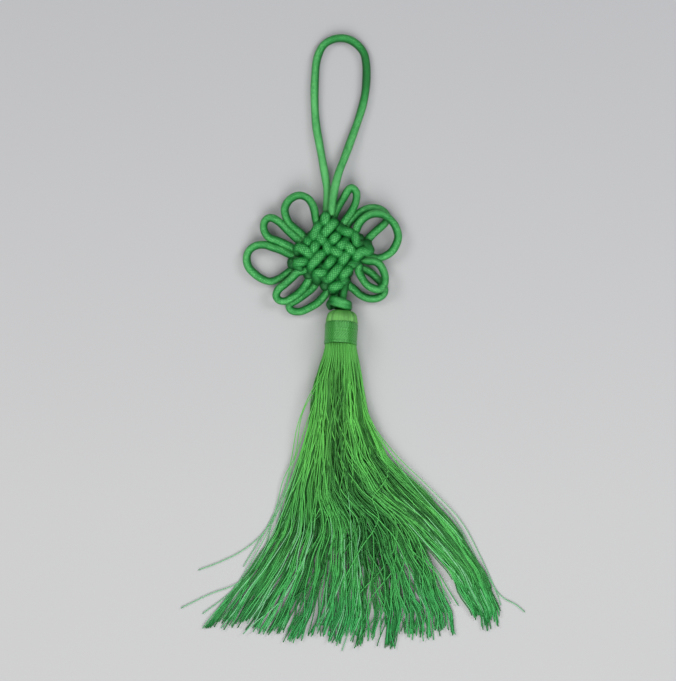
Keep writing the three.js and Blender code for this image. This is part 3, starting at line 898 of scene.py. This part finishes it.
STRAND_PULL = 0.8
STRAND_GATHERS = (0.03, 0.16)
STRAND_LEFT_FROM = (0.05, 0.5)
STRAND_LEFT_OVER = (0.35, 0.5)
LOCK_PULL = (0.35, 1.0)
LOCK_GATHERS = (0.55, 0.92)
TIP_SCATTER = 0.008
TIP_SCATTERS = (0.85, 1.0)


def place_along(across, target, lock, strand_centre):
    """A thread's place among the others: first with its strand, then on its own, then in its lock."""
    locked = target + (lock_centres[lock] - target) * dice.uniform(*LOCK_PULL)
    place = across + (strand_centre - across) * STRAND_PULL * smooth(*STRAND_GATHERS)
    leaves = dice.uniform(*STRAND_LEFT_FROM)
    place = place + (target - place) * smooth(leaves, leaves + dice.uniform(*STRAND_LEFT_OVER))
    place = place + (locked - place) * smooth(*LOCK_GATHERS)
    return np.clip(place + dice.gauss(0, TIP_SCATTER) * smooth(*TIP_SCATTERS), 0, 1)


LOOSENS = (0.02, 0.16)
LOCK_SWINGS = (0.35, 0.9)
LOCK_SWING_SHARE = (0.4, 1.1)
LOCK_SPLAY_SHARE = (0.6, 1.1)
OWN_SPLAY = 1.3
SPLAYS_FROM = (0.55, 0.7)
SPLAYS_TO = 1.15
STRAGGLES = (0.4, 0.7, 1.0, 1.4, 2.0)
STRAGGLES_ON_TOP = (0.8, 1.5, 2.4, 3.2)


def sideways_of(strand, lock, on_top):
    """How far a thread swings to the side, with its strand, with its lock and by itself."""
    loosened = smooth(*LOOSENS)
    sideways = sum(wave(*each) for each in strand_waves[strand]) * loosened * (1 - DOWN)
    lock_share = smooth(*LOCK_SWINGS) * dice.uniform(*LOCK_SWING_SHARE)
    sideways = sideways + sum(wave(*each) for each in lock_waves[lock]) * lock_share
    splay = lock_splays[lock] * dice.uniform(*LOCK_SPLAY_SHARE) + dice.gauss(0, OWN_SPLAY)
    sideways = sideways + splay * smooth(dice.uniform(*SPLAYS_FROM), SPLAYS_TO)
    straggle = dice.choice(STRAGGLES_ON_TOP if on_top else STRAGGLES)
    for most, few, many in ((straggle * 1.3, 0.7, 1.6), (straggle, 1.8, 3.8), (0.10, 6.0, 11.0)):
        single = wave(*random_wave(most, few, many))
        sideways = sideways + single * loosened * (0.4 + 0.6 * DOWN)
    return sideways


OWN_LENGTH = (-1.8, 0.8)
SHORT_SHARE_LEFT = 0.14
SHORT_SHARE_RIGHT = 0.5
SHORT_BY = (2, 14)


def length_of(across, target, lock):
    """A thread's length: its lock's, a little its own, and now and then much shorter."""
    length = float(np.interp(target, *SKIRT_LENGTHS)) + lock_lengths[lock]
    length += dice.uniform(*OWN_LENGTH)
    if dice.random() < (SHORT_SHARE_LEFT if across < PARTED_AT else SHORT_SHARE_RIGHT):
        length -= dice.uniform(*SHORT_BY)
    return length


EDGE_SWING = 0.3
EDGE_SWING_RISE = 2.2
MOUND_ROUNDNESS = 0.92
LEVELLING = 0.75
LEVELLING_ON_TOP = 0.3
LEVELS = (0.4, 0.75)
HEIGHT_WAVES = ((0.4, 1.5, 4.0), (0.08, 6.0, 11.0))
NECK_HOLDS = (0.0, 0.10)


def thread_route(across, layer):
    """One thread's way from the neck to its tip, and the numbers of its strand and its lock."""
    band = min(LAYERS - 1, int(layer * LAYERS))
    offset = 0.5 * (band % 2)
    strand_place = int(across * STRANDS + offset)
    strand = band * (STRANDS + 1) + strand_place
    on_top = layer > ON_TOP
    target, lock = aim_of(across, on_top)
    place = place_along(across, target, lock, (strand_place + 0.5 - offset) / STRANDS)
    sideways = sideways_of(strand, lock, on_top)
    y = SKIRT_TOP - (length_of(across, target, lock) + SKIRT_TOP) * DOWN
    left, right, pile = row_values(y)
    spread = parted(place, y, across, target)
    swing = np.minimum(1, EDGE_SWING + EDGE_SWING_RISE * np.minimum(spread, 1 - spread))
    mound = np.sqrt(np.maximum(0.0, 1 - (2 * spread - 1) ** 2 * MOUND_ROUNDNESS))
    levelling = LEVELLING_ON_TOP if on_top else LEVELLING
    level = layer + (lock_levels[lock] - layer) * levelling * smooth(*LEVELS)
    z = THREAD_RADIUS + pile * mound * level
    for each in HEIGHT_WAVES:
        z = z + wave(*random_wave(*each)) * smooth(*LOOSENS)
    root = root_of(across, layer)
    hold = 1 - smooth(*NECK_HOLDS)
    x = left + (right - left) * spread + sideways * swing
    x = x * (1 - hold) + (root[0] + (x - x[0]) * 0.5) * hold
    z = z * (1 - hold) + root[2] * hold
    return np.column_stack([x, y, np.maximum(z, THREAD_RADIUS)]), strand, lock


ALIKE = 0.5
LIGHT_SHARE = 0.10
LIGHT_MORE_ON_TOP = 0.62
LIGHT_TINTS = (0.60, 1.1)
DEEP_TINTS = (0.0, 0.30)


def thread_tint(roll, layer):
    """Light or deep in colour, mostly as the neighbours are, and lighter near the top, with painted
    shade on threads lower in the pile.
    """
    if dice.random() > ALIKE:
        roll = dice.random()
    light = roll < LIGHT_SHARE + LIGHT_MORE_ON_TOP * layer
    return dice.uniform(*(LIGHT_TINTS if light else DEEP_TINTS))


LOCK_TINTS = (0.4, 0.7)
SHADED_MIDDLE_AT = 0.47
SHADED_MIDDLE_WIDTH = 0.12
SHADED_MIDDLE_DEPTH = 0.7
UPPER_LIFT = 0.20
UPPER_LIFT_FADES = (0.25, 0.50)
NECK_TINT = 0.68
NECK_TINT_FADES = (0.02, 0.20)
TIP_LIFT = 0.25
TIP_LIGHTENS = (0.60, 0.95)
PALE_SHARE = 0.07
PALE_TINT = 1.55
PALES = (0.45, 0.7)


def shading_along(strand, lock, across, layer):
    """A thread's tint down its length: its strand's, then its lock's.

    All threads are alike at the neck. Those in the middle of the skirt get painted shade down to the
    tips, which are lighter, and a few threads turn pale, painted light where light shows through them.
    """
    tint = thread_tint(strand_rolls[strand], layer)
    tint = tint + (thread_tint(lock_rolls[lock], layer) - tint) * smooth(*LOCK_TINTS)
    # Painted shade on the threads in the middle of the skirt.
    middle_shade = 1 - SHADED_MIDDLE_DEPTH * math.exp(-((across - SHADED_MIDDLE_AT) / SHADED_MIDDLE_WIDTH) ** 2)
    lifted = middle_shade * (tint + (1 - tint) * UPPER_LIFT * (1 - smooth(*UPPER_LIFT_FADES)))
    shading = lifted + (NECK_TINT - lifted) * (1 - smooth(*NECK_TINT_FADES))
    shading = shading + (TIP_LIFT + tint - lifted) * smooth(*TIP_LIGHTENS)
    # Painted light: a few threads turn pale towards their ends, where light shows through them.
    if dice.random() < PALE_SHARE * 2 * layer:
        shading = shading + (PALE_TINT - shading) * smooth(*PALES)
    return shading


STRAY_RADIUS = 0.18
STRAY_STEP = 2.0
STRAY_TINT = ((15.0, 60.0), (0.7, 1.5))
STRAYS = [
    [(-6.0, -1.0, 7.5), (-14.0, -18.1, 6.5), (-17.7, -24.7, 4.2), (-19.2, -29.6, 3.0),
     (-21.2, -42.4, 2.0), (-25.5, -51.2, 1.2), (-28.0, -60.9, 0.6), (-33.6, -81.6, 0.3)],
    [(-5.4, -1.0, 6.0), (-14.6, -26.0, 4.6), (-21.0, -48.0, 2.6), (-27.6, -62.8, 1.2),
     (-33.4, -71.8, 0.5), (-41.2, -78.2, 0.3), (-50.1, -82.6, 0.3), (-57.4, -85.3, 0.3)],
    [(-5.8, -1.0, 5.0), (-15.4, -30.0, 4.0), (-23.5, -58.0, 2.0), (-38.1, -86.1, 0.6),
     (-43.2, -90.5, 0.4), (-53.1, -94.3, 0.3), (-64.0, -99.6, 0.3)],
    [(-6.0, -1.0, 4.0), (-16.0, -32.0, 3.0), (-27.0, -62.0, 1.6), (-41.8, -89.1, 0.4),
     (-46.1, -94.3, 0.3), (-55.9, -101.7, 0.3)],
    [(-5.0, -1.0, 8.5), (-12.6, -14.0, 7.0), (-16.6, -21.5, 5.0), (-20.2, -31.0, 3.2),
     (-22.6, -44.0, 1.8), (-25.4, -56.0, 0.9), (-31.0, -68.0, 0.4), (-40.5, -84.0, 0.3)],
    [(-6.0, -1.0, 5.0), (-14.6, -24.0, 4.4), (-20.0, -40.0, 2.6), (-24.6, -54.0, 1.2),
     (-28.4, -70.0, 0.5), (-36.5, -86.0, 0.3), (-47.0, -100.5, 0.3)],
    [(-0.3, -1.0, 4.0), (4.4, -24.0, 4.4), (13.6, -40.5, 2.6), (26.6, -54.0, 1.4),
     (38.4, -66.5, 0.8), (45.4, -78.0, 0.4), (50.4, -90.0, 0.3), (54.2, -101.0, 0.3)],
    [(0.2, -1.0, 5.4), (5.0, -25.0, 4.8), (14.9, -40.0, 3.0), (28.8, -54.0, 1.6),
     (41.0, -67.0, 0.8), (48.2, -80.0, 0.4), (54.0, -93.0, 0.3), (56.0, -98.5, 0.3)],
    [(-0.5, -1.0, 5.0), (6.0, -26.0, 5.0), (20.5, -50.0, 3.4), (41.5, -74.0, 1.4),
     (50.8, -87.5, 0.5), (56.3, -95.3, 0.3), (61.7, -98.3, 0.3), (65.0, -101.1, 0.3)],
    [(-3.5, -1.0, 6.0), (-4.0, -30.0, 6.0), (-0.5, -65.0, 4.0), (0.2, -100.3, 1.0),
     (-1.1, -108.1, 0.4), (-3.6, -115.6, 0.3)],
]

skirt_parts = {"skirt_upper": [], "skirt_lower": []}
skirt_tints = {"skirt_upper": [], "skirt_lower": []}
for number in range(SKIRT_THREADS):
    across = (number + 0.5) * GOLDEN % 1
    layer = (number + 0.5) / SKIRT_THREADS
    part = "skirt_upper" if number * 2 >= SKIRT_THREADS else "skirt_lower"
    route, strand, lock = thread_route(across, layer)
    thread = skin(route, THREAD_RADIUS, THREAD_RADIUS, THREAD_SIDES, uneven=0)
    skirt_parts[part].append(thread)
    shading = shading_along(strand, lock, across, layer)
    skirt_tints[part] += np.repeat(shading, THREAD_SIDES).tolist()
for stray in STRAYS:
    stray_skin = skin(spline(stray, STRAY_STEP), STRAY_RADIUS, STRAY_RADIUS, THREAD_SIDES, uneven=0)
    skirt_parts["skirt_upper"].append(stray_skin)
    # Painted light: each stray turns pale towards its tip, where light shows through it.
    skirt_tints["skirt_upper"] += np.interp(-stray_skin[0][:, 1], *STRAY_TINT).tolist()
skirt_silk = silk("skirt_silk", THREAD_SILK, TIP_SILK, DEEP_SILK, 0.46)
for part, skins in skirt_parts.items():
    skirt = piece_of(part, skins)
    add_attribute(skirt, "tint", skirt_tints[part])
    fit(skirt, skirt_silk, "thread_tassel")


# The table
# A plain pale grey sheet under the tassel, a little mottled, with painted shade that makes it deeper
# beyond the loop, wide enough for every view.

TABLE_PALE = (0.570, 0.568, 0.572, 1.0)
TABLE_SHADED = (0.495, 0.495, 0.512, 1.0)
TABLE_SHADED_FROM = 0.14
TABLE_PALE_FROM = -0.06
TABLE_SIZE = 6.0
TABLE_CELLS = 8
TABLE_TOP = -0.0002

bpy.ops.mesh.primitive_grid_add(
    x_subdivisions=TABLE_CELLS, y_subdivisions=TABLE_CELLS, size=TABLE_SIZE,
    location=(0, 0, TABLE_TOP),
)
table = bpy.context.object
bpy.ops.object.transform_apply(location=True, rotation=False, scale=False)
bpy.ops.object.select_all(action="DESELECT")
table.name = "table"
table_paper, table_surface, table_base = new_material(
    "table_paper", Roughness=0.85, Specular_IOR_Level=0.2,
)
table_place = table_base.node("ShaderNodeTexCoord", output="Object")
table_noise = table_place.node(
    "ShaderNodeTexNoise", {}, {"Vector": table_place, "Scale": 14.0, "Detail": 2.0},
)
table_along = table_place.node("ShaderNodeSeparateXYZ", {}, {0: table_place}, output="Y")
# Painted shade: the sheet darkens beyond the loop, standing in for the light falling off.
table_falloff_shade = table_along.node(
    "ShaderNodeMapRange", {"clamp": True},
    {"Value": table_along, "From Min": TABLE_SHADED_FROM, "From Max": TABLE_PALE_FROM},
)
table_shade = table_falloff_shade * 0.9 + table_noise * 0.1
connect(table_surface, Base_Color=table_shade.mixed(TABLE_SHADED, TABLE_PALE))
table.data.materials.append(table_paper)


# The light and the camera
# A soft light overhead, a window on each side, and an even light from all round. The camera looks
# straight down.

# Each lamp has its place, power, size, share of gloss, and colour.
LIGHTS = {
    "ceiling": ((0.0, -0.66, 0.85), 8.4, 0.9, 0.35, (1.0, 1.0, 0.99)),
    "left_window": ((-0.62, 0.36, 0.75), 2.7, 0.40, 1.2, (1.0, 0.99, 0.97)),
    "right_window": ((0.64, 0.30, 0.72), 2.7, 0.40, 1.2, (0.98, 0.99, 1.0)),
}
SKY = (0.95, 0.97, 1.0, 1.0)
SKY_STRENGTH = 0.27
CAMERA_PLACE = (-0.00506, 0.00075, 0.9)
CAMERA_LENS = 126.9

for light_name, (place, power, size, gloss, colour) in LIGHTS.items():
    lamp = bpy.data.lights.new(light_name, "AREA")
    lamp.energy = power
    lamp.size = size
    lamp.specular_factor = gloss
    lamp.color = colour
    lamp_object = bpy.data.objects.new(light_name, lamp)
    lamp_object.location = place
    slant = math.hypot(place[0], place[1])
    turn = math.atan2(place[1], place[0]) + math.pi / 2
    lamp_object.rotation_euler = (math.atan2(slant, place[2]), 0, turn)
    bpy.context.scene.collection.objects.link(lamp_object)

world = bpy.data.worlds.new("room_light")
world.use_nodes = True
world.node_tree.nodes["Background"].inputs["Color"].default_value = SKY
world.node_tree.nodes["Background"].inputs["Strength"].default_value = SKY_STRENGTH
bpy.context.scene.world = world

camera_data = bpy.data.cameras.new("camera")
camera_data.lens = CAMERA_LENS
camera = bpy.data.objects.new("camera", camera_data)
camera.location = CAMERA_PLACE
bpy.context.scene.collection.objects.link(camera)
bpy.context.scene.camera = camera
bpy.context.scene.view_settings.view_transform = "Standard"
